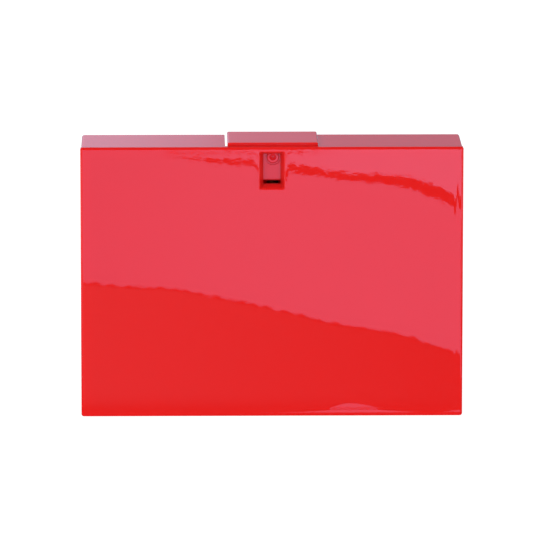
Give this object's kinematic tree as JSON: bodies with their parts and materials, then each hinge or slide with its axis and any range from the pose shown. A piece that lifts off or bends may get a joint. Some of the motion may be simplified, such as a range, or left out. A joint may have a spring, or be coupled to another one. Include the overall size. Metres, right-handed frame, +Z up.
{
  "type": "perfume atomiser",
  "caption": "Flat upright perfume atomiser: glossy rectangular case round a glass flacon, recessed nozzle window in front, wide push button in the top edge.",
  "frame": {"origin": "middle of the case's footprint, on the surface that it stands on", "axes": "+Z up towards the push button, +X to the right as seen from the nozzle's side, and the nozzle window faces -Y"},
  "size_m": [0.114, 0.024, 0.0825],
  "materials": {
    "case_gloss": "polished, moulded-in red",
    "button_gloss": "polished, moulded-in red",
    "head_gloss": "satin-gloss moulded red",
    "insert_gloss": "glossy moulded red",
    "ferrule_metal": "bright anodised, crimped",
    "pump_plastic": "natural white moulding",
    "stem_plastic": "tinted moulding, red-brown",
    "seal_rubber": "soft, matte",
    "spring_steel": "drawn stainless",
    "tube_plastic": "translucent natural",
    "flacon_glass": "clear flint glass",
    "fragrance_liquid": "clear, faintly amber liquid",
    "cushion_felt": "dark pressed felt"
  },
  "bodies": {
    "case": {"front_panel": "case_gloss", "rear_shell": "case_gloss", "flacon": "flacon_glass", "fragrance": "fragrance_liquid", "ferrule": "ferrule_metal", "neck_gasket": "seal_rubber", "pump_housing": "pump_plastic", "turret": "pump_plastic", "stem_seal": "seal_rubber", "dip_tube": "tube_plastic", "return_spring": "spring_steel", "face_pads": "cushion_felt", "base_pads": "cushion_felt", "side_pads": "cushion_felt", "shoulder_pads": "cushion_felt"},
    "button": {"button_cap": "button_gloss", "spray_head": "head_gloss", "nozzle_insert": "insert_gloss", "pump_stem": "stem_plastic", "piston": "pump_plastic"},
    "inlet_valve": {"inlet_ball": "spring_steel"}
  },
  "joints": [
    {"name": "button_press", "type": "slide", "parent": "case", "child": "button", "axis": [0, 0, -1], "range_m": [0, 0.0032], "stiffness_N_per_m": 800, "springref_m": -0.004, "deforming": ["return_spring"]},
    {"name": "ball_lift", "type": "slide", "parent": "case", "child": "inlet_valve", "axis": [0, 0, 1], "range_m": [0, 0.0006]}
  ]
}
